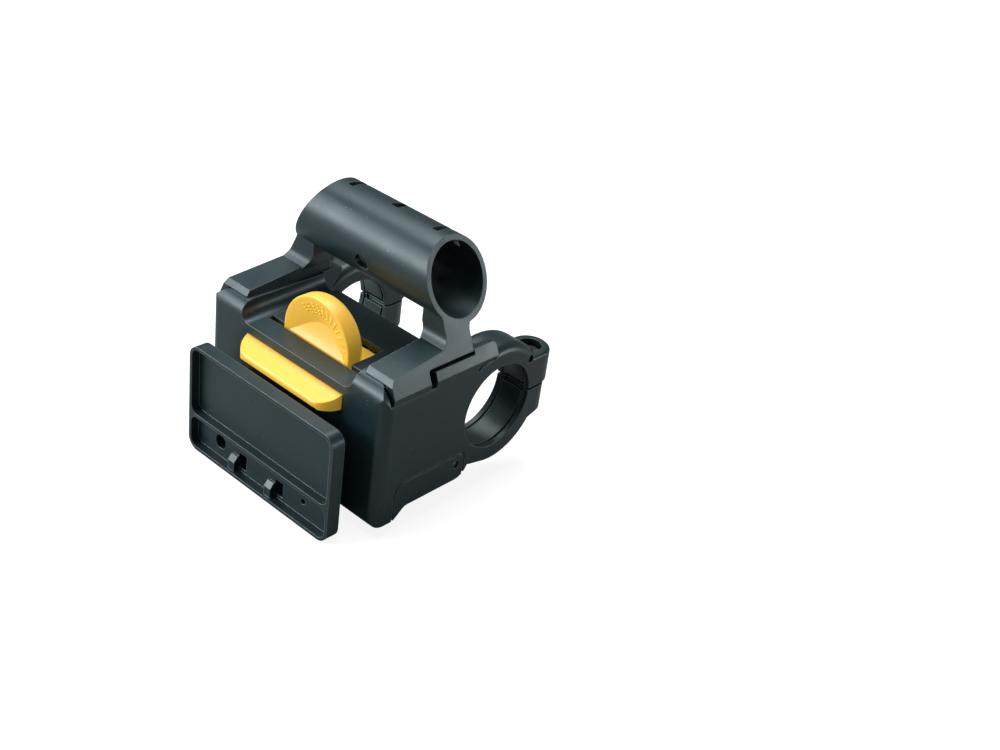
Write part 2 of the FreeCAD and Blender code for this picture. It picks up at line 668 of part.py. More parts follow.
strip_groove = both_sides("strip_groove", lambda n: cut(
    n, strip_plate(n + "_outer", s.strip_groove), strip_plate(n + "_inner", Size(0, "0"))))
lug_slit = both_sides("lug_slit", lambda n: slab(n, "YZ", [
    (-13.2, 18.2), (-11.2, 20.5), (-4.0, 20.9), (-4.0, 20.2), (-10.9, 19.5), (-12.4, 18.0),
], clamp_outside - s.lug_slit - 1.0, clamp_outside + 1))
land_inside = clamp_inside + s.groove_inset + s.groove_width
land_outside = clamp_outside - s.groove_inset - s.groove_width
wide_split = both_sides("wide_split", lambda n: box(
    n, land_inside, land_outside, 12.0, s.land_relief_reach, -s.land_relief, s.split_gap + s.land_relief))

solid_housing = fuse("solid_housing", body, jaw_right, jaw_left, plate, neck)
recessed = cut("recessed_housing", solid_housing, upper_recess, lower_recess, tray, tray_front, rebate)
carried = fuse("housing_with_lugs", recessed, lugs, *hooks)
piece("housing", cut("housing_body", carried, pocket, *windows, large_hole, small_hole, bore, grooves, relief,
                     screw_pocket, screw_way, cross_way, tongue_slot, pin_way, spigot_way, spigot_screw_way,
                     spigot_access, post_screw_way, post_access, strip_groove, lug_slit, wide_split))

# release latch

wedge_side = slab("wedge_side", "YZ", [
    (-s.wedge_back, s.wedge_low), (-s.wedge_back, s.wedge_high),
    (front_y, s.wedge_high),
    (-s.wedge_reach, s.wedge_low + s.wedge_nose_height + 0.8, 0.8),
    (-s.wedge_reach, s.wedge_low, 0.8),
], -root_half, root_half)
nose_half = root_half - s.wedge_taper
corner = s.wedge_corner_radius
wedge_plan = slab("wedge_plan", "XY", [
    (-root_half, -s.wedge_back), (-root_half, front_y - 2.2, corner), (-nose_half, -s.wedge_reach, corner),
    (nose_half, -s.wedge_reach, corner), (root_half, front_y - 2.2, corner), (root_half, -s.wedge_back),
], 0, 30)
wedge = common("wedge", wedge_side, wedge_plan)
slide_low = box("slide_low", -slide_half, slide_half, -s.slide_front, -s.slide_back, s.wedge_low, s.slide_level)
tab_radius = opening_half - s.tab_gap
tab_y = -s.tab_front
tab_back_y = tab_y + s.tab_thickness
tab_profile = outline("tab_profile", "XY", [
    (0.0, tab_y), (tab_radius, tab_y, 0.8), (tab_radius, tab_back_y, s.tab_back_radius), (0.0, tab_back_y),
], offset=s.tab_centre_level)
tab_disc = turned("tab_disc", tab_profile, "Y", Vector(0, 0, s.tab_centre_level.value))
tab_upper = box("tab_upper", -far, far, -far, 0, s.tab_centre_level, far)
tab_plan = slab("tab_plan", "XY", [
    (-tab_radius, tab_y, 0.8), (tab_radius, tab_y, 0.8),
    (tab_radius, tab_back_y, s.tab_back_radius), (-tab_radius, tab_back_y, s.tab_back_radius),
], s.slide_level - 1, s.tab_centre_level)
tab = fuse("tab", common("tab_arch", tab_disc, tab_upper), tab_plan)
dish_radius = tab_radius - s.dish_rim
dish = doc.addObject("Part::Cone", "dish")
bind(dish, "Radius1", dish_radius)
bind(dish, "Radius2", dish_radius - s.dish_wall)
bind(dish, "Height", s.dish_depth)
place(dish, 0, tab_y, s.tab_centre_level, rotation=Rotation(Vector(0, 0, 1), AXES["Y"]))
ramp = rod("ramp", s.ramp_radius, "X", (-far, tab_y + s.ramp_depth - s.ramp_radius, s.ramp_level), 2 * far)
dish_limit = box("dish_limit", -far, far, -far, 0, s.slide_level, far)
spring_half = s.spring_spacing / 2
spring_level = (s.wedge_low + s.slide_level) / 2
spring_seats = [rod(f"spring_seat_{side}", s.spring_diameter / 2 + 0.2, "Y",
                    (side * spring_half, -s.slide_back - s.spring_pocket, spring_level), s.spring_pocket + 1)
                for side in (-1, 1)]
latch = fuse("latch_joined", wedge, slide_low, tab)
piece("release_latch", cut("latch", latch, common("dish_tool", dish, ramp, dish_limit), *spring_seats))

# latch cover: a U-shaped plate flush with the tray floor, its back wall and two screw posts

skirt_front_y = back_y + 0.1
cover_end_y = back_y + s.cover_skirt
cover_plate = slab("cover_plate", "XY", [
    (-cover_half, cover_end_y), (-cover_half, -s.cover_front), (-opening_half, -s.cover_front),
    (-opening_half, -s.cover_opening_back), (opening_half, -s.cover_opening_back),
    (opening_half, -s.cover_front), (cover_half, -s.cover_front), (cover_half, cover_end_y),
], s.cover_underside, s.top_height)
cover_skirt = box("cover_skirt", -cover_half, cover_half, skirt_front_y, cover_end_y,
                  s.cover_skirt_low, s.cover_underside + 0.5)
posts = [rod(f"post_{side}", s.cover_post_diameter / 2, "Z",
             (side * post_x, -s.cover_post_reach, post_floor + 0.1), s.cover_underside - post_floor)
         for side in (-1, 1)]
post_holes = [rod(f"post_hole_{side}", s.screw_diameter / 2, "Z",
                  (side * post_x, -s.cover_post_reach, 0), post_floor + s.screw_length - screw_seat_depth + 0.5)
              for side in (-1, 1)]
cover_solid = cut("cover_flush", fuse("cover_joined", cover_plate, cover_skirt, *posts), tray)
piece("latch_cover", cut("cover", cover_solid, *post_holes))

# latch springs, between the seats in the slide and the cover's back wall

spring_play = 0.02


def spring_path(side):
    coil = doc.addObject("Part::Helix", f"spring_helix_{side}")
    start_y = -s.slide_back - s.spring_pocket + s.spring_wire / 2 + spring_play
    bind(coil, "Radius", (s.spring_diameter - s.spring_wire) / 2)
    bind(coil, "Pitch", s.spring_pitch)
    bind(coil, "Height", skirt_front_y - s.spring_wire / 2 - spring_play - start_y)
    place(coil, side * spring_half, start_y, spring_level, rotation=Rotation(Vector(0, 0, 1), Vector(0, 1, 0)))
    return coil


def latch_spring(label, side):
    coil = spring_path(side)
    doc.recompute()
    start = coil.Shape.Vertexes[0].Point
    wire_outline = doc.addObject("Part::RegularPolygon", f"spring_wire_{side}")
    wire_outline.Polygon = 6
    bind(wire_outline, "Circumradius", s.spring_wire / 2)
    tangent = coil.Shape.Edges[0].tangentAt(coil.Shape.Edges[0].FirstParameter)
    wire_outline.Placement = Placement(start, Rotation(Vector(0, 0, 1), tangent))
    sweep = doc.addObject("Part::Sweep", f"spring_sweep_{side}")
    sweep.Sections = [wire_outline]
    sweep.Spine = (coil, ["Edge1"])
    sweep.Solid = True
    sweep.Frenet = True
    piece(label, sweep)


latch_spring("latch_spring_left", -1)
latch_spring("latch_spring_right", 1)

# accessory bracket: tube, stems, pads and flanges between the slanted planes

tube_radius = s.tube_diameter / 2
tube = rod("tube", tube_radius, "X", (-clamp_outside, tube_y, s.tube_level), s.clamp_span)
stem_inside = clamp_outside - s.stem_inset
pad_inside = clamp_outside - s.pad_inset
stem_sides = slab("stem_sides", "YZ", [
    (-s.stem_front - 5.5, s.top_height + 1),
    (pad_back_y, s.top_height + 1),
    (stem_back_y, s.tube_level - tube_radius - 0.6, 5.0),
    (tube_y + tube_radius - 3.0, s.tube_level - 4.5),
    (tube_y, s.tube_level),
    (tube_y - tube_radius + 0.2, s.tube_level - 1.8),
    (-s.stem_front, s.tube_level - tube_radius + 4.5, 6.0),
    (-s.stem_front, s.top_height + 6.5, 4.0),
], -clamp_outside, clamp_outside)
stem_limits = []
for side in (-1, 1):
    corners = [
        (side * stem_inside, s.tube_level), (side * stem_inside, s.top_height + 9.0),
        (side * pad_inside, s.top_height + 3.0), (side * pad_inside, s.top_height),
        (side * clamp_outside, s.top_height), (side * clamp_outside, s.tube_level),
    ]
    name = "stem_limit_left" if side < 0 else "stem_limit_right"
    stem_limits.append(slab(name, "XZ", corners if side < 0 else corners[::-1], -60, 10))
stems = common("stems", stem_sides, fuse("stem_limits", *stem_limits))
pad_rise = s.top_height + s.pad_back_height
pad_side = [
    (pad_front_y, s.top_height), (pad_back_y, s.top_height), (pad_back_y, pad_rise),
    (-s.stem_front - 3.0, pad_rise), (pad_front_y + s.pad_chamfer, s.top_height + s.pad_front_height),
]
strip_low = s.lug_level + s.strip_gap
flange_side = [
    (pad_front_y, s.flange_low), (flange_back_y, s.flange_low), (flange_back_y, strip_low, 1.0),
    (pad_back_y, strip_low), (pad_back_y, pad_rise), (-s.stem_front - 3.0, pad_rise),
    (pad_front_y + s.pad_chamfer, s.top_height + s.pad_front_height), (pad_front_y, s.top_height),
]
pads = both_sides("pad", lambda n: slab(n, "YZ", pad_side, pad_inside, flange_inside + 0.5))
flanges = both_sides("flange", lambda n: slab(n, "YZ", flange_side, flange_inside, clamp_outside))
spigots = both_sides("spigot", lambda n: rod(
    n, s.spigot_diameter / 2, "Z", (spigot_x, -s.spigot_front, s.top_height - s.spigot_length),
    s.spigot_length + 1))
spigot_holes = both_sides("spigot_hole", lambda n: rod(
    n, s.screw_diameter / 2, "Z", (spigot_x, -s.spigot_front, 0),
    spigot_floor + s.screw_length - screw_seat_depth + 0.5))
tube_bore = rod("tube_bore", s.tube_bore / 2, "X", (-far, tube_y, s.tube_level), 2 * far)
hole_tilt = 16.0
tube_hole = doc.addObject("Part::Cylinder", "tube_hole")
bind(tube_hole, "Radius", s.tube_hole / 2)
bind(tube_hole, "Height", tube_radius + 2)
hole_way = Vector(0, -math.cos(math.radians(hole_tilt)), -math.sin(math.radians(hole_tilt)))
place(tube_hole, 0, tube_y, s.tube_level, rotation=Rotation(Vector(0, 0, 1), hole_way))
slot_tools = []
for side in (-1, 1):
    middle_x = side * (tube_half - s.tube_slot_inset)
    slot_tools.append(box(f"strap_slot_{side}", middle_x - s.tube_slot / 2, middle_x + s.tube_slot / 2,
                          tube_y - 1.2, tube_y + tube_radius + 1,
                          s.tube_level + tube_radius * 0.35, s.tube_level + tube_radius + 1))
window_tool = box("tube_window_tool", -s.tube_window / 2, s.tube_window / 2, tube_y, tube_y + 6.5,
                  s.tube_level, s.tube_level + tube_radius + 1)
bracket_solid = common("bracket_trimmed", fuse("bracket_joined", tube, stems, pads, flanges),
                       slant_trim("bracket_trim"))
bracket_solid = fuse("bracket_with_spigots", bracket_solid, spigots)
piece("accessory_bracket", cut("bracket", bracket_solid, tube_bore, tube_hole, window_tool, *slot_tools,
                               spigot_holes))

# lower jaws

def lower_jaw(name):
    ring = rod(name + "_ring", s.lower_jaw_radius, "X", (clamp_inside, 0, 0), s.clamp_width)
    lower_half = slab(name + "_half", "YZ", [
        (-s.cheek_edge + s.knuckle_gap, 0.0), (-s.cheek_edge + s.knuckle_gap, -far), (far, -far), (far, 0.0),
    ], clamp_inside, clamp_outside)
    nose = slab(name + "_nose", "YZ", [
        (-s.cheek_edge + s.knuckle_gap, -8.0), (-s.cheek_edge + s.knuckle_gap, -s.pin_drop - 2.4),
        (-5.0, -s.lower_jaw_radius + 0.6), (0.0, -s.lower_jaw_radius + 0.3), (0.0, -8.0),
    ], clamp_inside, clamp_outside)
    ear_side = slab(name + "_ear_side", "YZ", [
        (4.0, 0.0), (4.0, -14.0), (14.4, -3.2 - s.lower_ear_depth), (16.7, -1.6 - s.lower_ear_depth),
        (21.8, -s.lower_ear_depth), (far, -s.lower_ear_depth), (far, 0.0),
    ], clamp_inside, clamp_outside)
    ear_bridge = box(name + "_ear_bridge", clamp_inside, clamp_outside, 0, s.lower_ear_centre, -far, 0)
    ear_end = rod(name + "_ear_end", s.clamp_width / 2, "Z", (clamp_middle, s.lower_ear_centre, -far), far)
    ear_plan = fuse(name + "_ear_plan", ear_bridge, ear_end)
    tongue_low = clamp_middle - s.tongue_width / 2
    tongue = slab(name + "_tongue", "YZ", [
        (pin_y, pin_z + s.tongue_radius), (-11.6, pin_z + s.tongue_radius), (-8.0, -14.0), (-8.0, -20.2),
        (-11.5, -19.3), (pin_y, pin_z - s.tongue_radius),
    ], tongue_low, tongue_low + s.tongue_width)
    tongue_end = rod(name + "_tongue_end", s.tongue_radius, "X", (tongue_low, pin_y, pin_z), s.tongue_width)
    block = fuse(name + "_block", common(name + "_ring_half", ring, lower_half), nose,
                 common(name + "_ear", ear_side, ear_plan))
    clear_knuckle = rod(name + "_knuckle_clear", s.knuckle_radius + s.knuckle_gap, "X",
                        (clamp_inside - 1, pin_y, pin_z), s.clamp_width + 2)
    shaped = fuse(name + "_shaped", cut(name + "_cleared", block, clear_knuckle), tongue, tongue_end)
    seat_bore = rod(name + "_bore", bar_radius, "X", (0, 0, 0), far)
    pin_hole = rod(name + "_pin_hole", s.pin_diameter / 2 + s.pin_clearance, "X", (0, pin_y, pin_z), far)
    bolt_hole = rod(name + "_bolt_hole", s.bolt_hole / 2, "Z", (clamp_middle, s.bolt_reach, -30), 40)
    nut_pocket = hexagon(name + "_nut_pocket", s.nut_width + 0.1, (clamp_middle, s.bolt_reach, -30),
                         30 - s.nut_level)
    return cut(name + "_finished", shaped, seat_bore, pin_hole, bolt_hole, nut_pocket, wide_split, *groove_tools[2:])


right_jaw = lower_jaw("lower_jaw")
piece("lower_jaw_right", right_jaw)
piece("lower_jaw_left", mirrored("lower_jaw_mirror", right_jaw))

# hinge pins and clamp fasteners


def hinge_pin(name):
    return rod(name, s.pin_diameter / 2, "X", (clamp_inside + s.pin_recess, pin_y, pin_z),
               s.clamp_width - 2 * s.pin_recess)


def clamp_bolt(name):
    under_head = s.seat_height + s.washer_thickness
    shank = rod(name + "_shank", s.bolt_diameter / 2, "Z",
                (clamp_middle, s.bolt_reach, under_head - s.bolt_length), s.bolt_length + 1)
    head = rod(name + "_head", s.bolt_head_diameter / 2, "Z", (clamp_middle, s.bolt_reach, under_head),
               s.bolt_head_height)
    socket = hexagon(name + "_socket", s.bolt_socket,
                     (clamp_middle, s.bolt_reach, under_head + s.bolt_head_height / 2), s.bolt_head_height)
    return cut(name, fuse(name + "_joined", shank, head), socket)


def clamp_washer(name):
    disc = rod(name + "_disc", s.washer_diameter / 2, "Z", (clamp_middle, s.bolt_reach, s.seat_height),
               s.washer_thickness)
    hole = rod(name + "_hole", s.bolt_diameter / 2 + 0.15, "Z", (clamp_middle, s.bolt_reach, 0), far)
    return cut(name, disc, hole)


def clamp_nut(name):
    body_prism = hexagon(name + "_prism", s.nut_width, (clamp_middle, s.bolt_reach, -s.nut_level - s.nut_thickness),
                         s.nut_thickness)
    hole = rod(name + "_hole", s.bolt_diameter / 2 + 0.02, "Z", (clamp_middle, s.bolt_reach, -30), 40)
    return cut(name, body_prism, hole)


for maker in (hinge_pin, clamp_bolt, clamp_washer, clamp_nut):
    right_piece = maker(maker.__name__)
    piece(maker.__name__ + "_right", right_piece)
    piece(maker.__name__ + "_left", mirrored(maker.__name__ + "_mirror", right_piece))

# plastic screws from below


def screw_pair(label, side_x, reach, floor):
    seat = floor - screw_seat_depth

    def screw(name):
        shank = rod(name + "_shank", s.screw_diameter / 2, "Z", (side_x, -reach, seat - 0.5), s.screw_length + 0.5)
        head = rod(name + "_head", s.screw_head_diameter / 2, "Z", (side_x, -reach, seat - s.screw_head_height),
                   s.screw_head_height)
        drive = [box(name + "_drive_x", side_x - 1.6, side_x + 1.6, -reach - 0.4, 0.4 - reach,
                     seat - s.screw_head_height - 1, seat - s.screw_head_height + s.screw_slot_depth),
                 box(name + "_drive_y", side_x - 0.4, side_x + 0.4, -reach - 1.6, 1.6 - reach,
                     seat - s.screw_head_height - 1, seat - s.screw_head_height + s.screw_slot_depth)]
        return cut(name, fuse(name + "_joined", shank, head), *drive)

    return piece(label, both_sides(label + "_right", screw))


screw_pair("bracket_screws", spigot_x, s.spigot_front, spigot_floor)
screw_pair("cover_screws", post_x, s.cover_post_reach, post_floor)

doc.recompute()

for thing in doc.Objects:
    if "Invalid" in thing.State or "Error" in thing.State:
        raise RuntimeError(f"{thing.Name} failed: {thing.State}")
for thing in pieces:
    if thing.Shape.isNull() or not thing.Shape.isValid():
        raise RuntimeError(f"{thing.Label} has no valid shape")

os.makedirs("parts", exist_ok=True)
for thing in pieces:
    thing.Shape.exportStep(os.path.join("parts", thing.Label + ".step"))
    print(thing.Label, len(thing.Shape.Solids), round(thing.Shape.Volume, 1))
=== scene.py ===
# Handlebar mount adapter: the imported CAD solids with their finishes, and the small moulded
# details that only the picture needs.
import bmesh
import bpy
import math
from mathutils import Matrix, Vector


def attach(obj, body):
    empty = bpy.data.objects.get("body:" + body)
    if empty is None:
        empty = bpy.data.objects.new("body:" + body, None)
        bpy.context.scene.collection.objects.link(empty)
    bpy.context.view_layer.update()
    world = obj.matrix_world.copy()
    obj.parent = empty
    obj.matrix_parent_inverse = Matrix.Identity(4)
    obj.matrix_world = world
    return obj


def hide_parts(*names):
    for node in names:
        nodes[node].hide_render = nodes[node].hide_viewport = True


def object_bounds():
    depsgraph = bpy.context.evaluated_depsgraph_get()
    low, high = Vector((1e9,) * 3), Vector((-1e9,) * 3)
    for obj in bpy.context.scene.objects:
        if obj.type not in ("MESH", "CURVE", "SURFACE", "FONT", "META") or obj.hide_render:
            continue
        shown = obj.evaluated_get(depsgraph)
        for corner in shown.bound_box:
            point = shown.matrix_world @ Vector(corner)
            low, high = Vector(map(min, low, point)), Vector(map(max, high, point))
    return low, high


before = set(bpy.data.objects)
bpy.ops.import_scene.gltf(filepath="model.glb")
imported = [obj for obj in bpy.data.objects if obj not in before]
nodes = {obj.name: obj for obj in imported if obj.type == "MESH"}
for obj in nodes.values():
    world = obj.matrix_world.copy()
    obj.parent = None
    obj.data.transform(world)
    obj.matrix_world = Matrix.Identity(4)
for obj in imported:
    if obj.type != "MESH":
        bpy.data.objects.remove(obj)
cad_low, cad_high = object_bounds()
bpy.ops.object.select_all(action="DESELECT")

# Camera, floor and light: a plain white sweep with soft light from above and from the left, as for
# a catalogue picture. The camera stands where the photograph was taken, a little to the right of
# the adapter's front and above it.
PHOTO_WIDTH_PX = 1000
FOCAL_LENGTH_PX = 1387.5
SENSOR_MM = 36.0
camera_right = Vector((0.732635, 0.668733, 0.126657))
camera_down = Vector((0.431861, -0.312912, -0.845921))
camera_forward = Vector((-0.526063, 0.674450, -0.518050))
camera_place = Vector((0.285799, -0.312749, 0.252140))
camera_data = bpy.data.cameras.new("photo_camera")
camera_data.sensor_width = SENSOR_MM
camera_data.lens = FOCAL_LENGTH_PX * SENSOR_MM / PHOTO_WIDTH_PX
camera_data.clip_start = 0.01
camera_data.clip_end = 20.0
camera = bpy.data.objects.new("photo_camera", camera_data)
bpy.context.scene.collection.objects.link(camera)
turn = Matrix((camera_right, -camera_down, -camera_forward)).transposed()
camera.matrix_world = Matrix.Translation(camera_place) @ turn.to_4x4()
bpy.context.scene.camera = camera

bpy.context.scene.view_settings.view_transform = "Standard"


def studio_white(name, diffuse_colour, glow):
    """White to the camera, with a low reflectance that leaves room for a soft shadow."""
    white = bpy.data.materials.new(name)
    white.use_nodes = True
    tree = white.node_tree
    shader = tree.nodes["Principled BSDF"]
    shader.inputs["Base Color"].default_value = diffuse_colour
    shader.inputs["Roughness"].default_value = 0.9
    shader.inputs["Specular IOR Level"].default_value = 0.0
    seen = tree.nodes.new("ShaderNodeLightPath")
    shader.inputs["Emission Color"].default_value = (1.0, 1.0, 1.0, 1.0)
    strength = tree.nodes.new("ShaderNodeMath")
    strength.operation = "MULTIPLY"
    strength.inputs[1].default_value = glow
    tree.links.new(seen.outputs["Is Camera Ray"], strength.inputs[0])
    tree.links.new(strength.outputs[0], shader.inputs["Emission Strength"])
    return white


FLOOR_SIZE = 6.0
FLOOR_GAP = 0.0004
bpy.ops.mesh.primitive_plane_add(size=FLOOR_SIZE, location=(0.0, 0.0, cad_low[2] - FLOOR_GAP))
floor = bpy.context.object
floor.name = "floor"
floor.data.materials.append(studio_white("studio_floor", (0.34, 0.34, 0.34, 1.0), 0.86))
bpy.ops.object.select_all(action="DESELECT")

world = bpy.data.worlds.new("studio")
bpy.context.scene.world = world
world.use_nodes = True
sky = world.node_tree.nodes["Background"]
sky.inputs["Color"].default_value = (0.93, 0.97, 1.0, 1.0)
path = world.node_tree.nodes.new("ShaderNodeLightPath")
seen_white = world.node_tree.nodes.new("ShaderNodeMix")
seen_white.data_type = "FLOAT"
seen_white.inputs[2].default_value = 0.18
seen_white.inputs[3].default_value = 1.0
world.node_tree.links.new(path.outputs["Is Camera Ray"], seen_white.inputs[0])
world.node_tree.links.new(seen_white.outputs[0], sky.inputs["Strength"])


def softbox(name, place, target, width, height, watts):
    """A rectangular lamp that faces its target."""
    lamp_data = bpy.data.lights.new(name, "AREA")
    lamp_data.shape = "RECTANGLE"
    lamp_data.size = width
    lamp_data.size_y = height
    lamp_data.energy = watts
    lamp = bpy.data.objects.new(name, lamp_data)
    bpy.context.scene.collection.objects.link(lamp)
    aim = (Vector(target) - Vector(place)).to_track_quat("-Z", "Y")
    lamp.matrix_world = Matrix.Translation(place) @ aim.to_matrix().to_4x4()


BODY_MIDDLE = (0.0, -0.02, 0.0)
TUBE_BACK = (0.0, 0.0, 0.03)
softbox("top_box", (-0.20, 0.10, 0.75), BODY_MIDDLE, 0.6, 0.6, 7.4)
softbox("left_box", (-0.75, -0.55, 0.45), BODY_MIDDLE, 0.4, 0.6, 5.5)
softbox("front_box", (-0.48, -0.85, 0.34), BODY_MIDDLE, 0.35, 0.35, 6.4)
softbox("back_right_box", (0.75, 0.68, 0.10), TUBE_BACK, 0.45, 0.22, 2.6)

# Housing, latch cover, accessory bracket and lower jaws: one glass-filled black nylon, moulded in
# spark-eroded tools. The housing is one moulding from the front plate to the upper jaws; the
# bracket is pushed into it from above and held by two screws, the cover by two more.


def group(name, inputs, outputs):
    """An empty node group with its sockets, for an effect that several finishes share."""
    tree = bpy.data.node_groups.new(name, "ShaderNodeTree")
    for socket_name, kind, value in inputs:
        socket = tree.interface.new_socket(socket_name, in_out="INPUT", socket_type=kind)
        socket.default_value = value
    for socket_name, kind in outputs:
        tree.interface.new_socket(socket_name, in_out="OUTPUT", socket_type=kind)
    start = tree.nodes.new("NodeGroupInput")
    end = tree.nodes.new("NodeGroupOutput")
    return tree, start, end


def noise(tree, coordinates, scale, detail):
    """A cloudy pattern on the given coordinates."""
    texture = tree.nodes.new("ShaderNodeTexNoise")
    texture.inputs["Detail"].default_value = detail
    texture.inputs["Scale"].default_value = scale
    tree.links.new(coordinates, texture.inputs["Vector"])
    return texture


def ramp(tree, value, low, high, to_low=0.0, to_high=1.0):
    """Stretches a value from one range to another."""
    step = tree.nodes.new("ShaderNodeMapRange")
    step.inputs["From Min"].default_value = low
    step.inputs["From Max"].default_value = high
    step.inputs["To Min"].default_value = to_low
    step.inputs["To Max"].default_value = to_high
    tree.links.new(value, step.inputs["Value"])
    return step


# fine spark-eroded grain: height for a bump and a light speckle
grain_group, grain_in, grain_out = group(
    "spark_grain",
    [("Grain Scale", "NodeSocketFloat", 4200.0)],
    [("Height", "NodeSocketFloat"), ("Speckle", "NodeSocketFloat"), ("Cloud", "NodeSocketFloat")])
where = grain_group.nodes.new("ShaderNodeTexCoord")
fine = noise(grain_group, where.outputs["Object"], 4200.0, 3.0)
grain_group.links.new(grain_in.outputs["Grain Scale"], fine.inputs["Scale"])
grain_group.links.new(fine.outputs["Fac"], grain_out.inputs["Height"])
pits = noise(grain_group, where.outputs["Object"], 1500.0, 1.0)
speckle = ramp(grain_group, pits.outputs["Fac"], 0.745, 0.80)
grain_group.links.new(speckle.outputs["Result"], grain_out.inputs["Speckle"])
cloud = noise(grain_group, where.outputs["Object"], 60.0, 3.0)
grain_group.links.new(cloud.outputs["Fac"], grain_out.inputs["Cloud"])

# softened edges: a rounded normal, and a mask where that normal leaves the flat one, which places
# the painted edge highlight or shade
edge_group, edge_in, edge_out = group(
    "soft_edge",
    [("Radius", "NodeSocketFloat", 0.0004)],
    [("Normal", "NodeSocketVector"), ("Edge", "NodeSocketFloat")])
rounded = edge_group.nodes.new("ShaderNodeBevel")
rounded.samples = 6
edge_group.links.new(edge_in.outputs["Radius"], rounded.inputs["Radius"])
flat = edge_group.nodes.new("ShaderNodeNewGeometry")
agree = edge_group.nodes.new("ShaderNodeVectorMath")
agree.operation = "DOT_PRODUCT"
edge_group.links.new(rounded.outputs["Normal"], agree.inputs[0])
edge_group.links.new(flat.outputs["Normal"], agree.inputs[1])
edge_mask = ramp(edge_group, agree.outputs["Value"], 0.99, 0.80)
edge_group.links.new(rounded.outputs["Normal"], edge_out.inputs["Normal"])
edge_group.links.new(edge_mask.outputs["Result"], edge_out.inputs["Edge"])


def placed(tree, node_group, **values):
    """Puts a node group into a finish with its own values."""
    node = tree.nodes.new("ShaderNodeGroup")
    node.node_tree = node_group
    for name, value in values.items():
        node.inputs[name.replace("_", " ")].default_value = value
    return node


def mixed_colour(tree, factor, first, second):
    """Mixes two colours, each a plain one or another node's."""
    mix = tree.nodes.new("ShaderNodeMix")
    mix.data_type = "RGBA"
    tree.links.new(factor, mix.inputs["Factor"])
    for slot, colour in ((6, first), (7, second)):
        if isinstance(colour, tuple):
            mix.inputs[slot].default_value = colour
        else:
            tree.links.new(colour, mix.inputs[slot])
    return mix.outputs[2]


GRAIN_DEPTH = 0.00004


def moulded_plastic(name, colour, pale, painted_edge_colour, roughness, grain, edge_radius, gloss_tint,
                    grain_scale=4200.0):
    """A moulded thermoplastic with spark-eroded grain, pale flecks and softened edges, with a colour
    painted along the edges as a highlight or shade.
    """
    plastic = bpy.data.materials.new(name)
    plastic.use_nodes = True
    tree = plastic.node_tree
    shader = tree.nodes["Principled BSDF"]
    shader.inputs["Specular Tint"].default_value = gloss_tint
    texture = placed(tree, grain_group, Grain_Scale=grain_scale)
    edges = placed(tree, edge_group, Radius=edge_radius)
    flecked = mixed_colour(tree, texture.outputs["Speckle"], colour, pale)
    # the edge colour is mixed in along the edges as painted light: a painted highlight on the black,
    # painted shade on the yellow
    half = ramp(tree, edges.outputs["Edge"], 0.0, 1.0, 0.0, 0.6)
    painted_edge_tone = mixed_colour(tree, half.outputs["Result"], flecked, painted_edge_colour)
    tree.links.new(painted_edge_tone, shader.inputs["Base Color"])
    sheen = ramp(tree, texture.outputs["Cloud"], 0.3, 0.7, roughness - 0.05, roughness + 0.06)
    tree.links.new(sheen.outputs["Result"], shader.inputs["Roughness"])
    bump = tree.nodes.new("ShaderNodeBump")
    bump.inputs["Strength"].default_value = grain
    bump.inputs["Distance"].default_value = GRAIN_DEPTH
    tree.links.new(texture.outputs["Height"], bump.inputs["Height"])
    tree.links.new(edges.outputs["Normal"], bump.inputs["Normal"])
    tree.links.new(bump.outputs["Normal"], shader.inputs["Normal"])
    return plastic


def finish_node(name, material):
    """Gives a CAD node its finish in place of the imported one."""
    mesh = nodes[name].data
    mesh.materials.clear()
    mesh.materials.append(material)


# The black's edge colour is lighter than its body: a painted highlight along the edges.
black_nylon = moulded_plastic(
    "black_nylon", colour=(0.007, 0.019, 0.023, 1.0), pale=(0.13, 0.16, 0.17, 1.0),
    painted_edge_colour=(0.30, 0.36, 0.38, 1.0), roughness=0.38, grain=0.5, edge_radius=0.00036,
    gloss_tint=(0.80, 0.95, 1.0, 1.0))
for name in ("housing", "latch_cover", "accessory_bracket", "lower_jaw_left", "lower_jaw_right"):
    finish_node(name, black_nylon)

# Release latch: one smooth yellow moulding, a wedge bar under the slide and a round thumb tab with a
# dish for the thumb. It slides in the tray and is pushed forward by two springs. The piece stands in
# for the CAD solid, because its dish is wider and shallower, with a hollow ramp at the foot.
# The yellow's orange edge colour is painted shade along the edges.
yellow_acetal = moulded_plastic(
    "yellow_acetal", colour=(0.78, 0.46, 0.065, 1.0), pale=(0.80, 0.48, 0.07, 1.0),
    painted_edge_colour=(0.84, 0.38, 0.02, 1.0), roughness=0.34, grain=0.12, edge_radius=0.0004,
    gloss_tint=(1.0, 1.0, 1.0, 1.0), grain_scale=1500.0)
yellow_shader = yellow_acetal.node_tree.nodes["Principled BSDF"]
yellow_shader.inputs["Subsurface Weight"].default_value = 0.40
yellow_shader.inputs["Subsurface Radius"].default_value = (1.0, 0.40, 0.04)
yellow_shader.inputs["Subsurface Scale"].default_value = 0.0020
# The orange emission is a painted glow that stands in for light scattered through the moulding.
yellow_shader.inputs["Emission Color"].default_value = (1.0, 0.62, 0.03, 1.0)
yellow_shader.inputs["Emission Strength"].default_value = 0.17


def solid_box(name, low, high):
    """A closed box between two corners."""
    middle = [(a + b) / 2 for a, b in zip(low, high)]
    bpy.ops.object.select_all(action="DESELECT")
    bpy.ops.mesh.primitive_cube_add(size=1.0, location=middle)
    block = bpy.context.object
    block.name = name
    block.scale = [b - a for a, b in zip(low, high)]
    bpy.ops.object.transform_apply(location=True, rotation=True, scale=True)
    return block


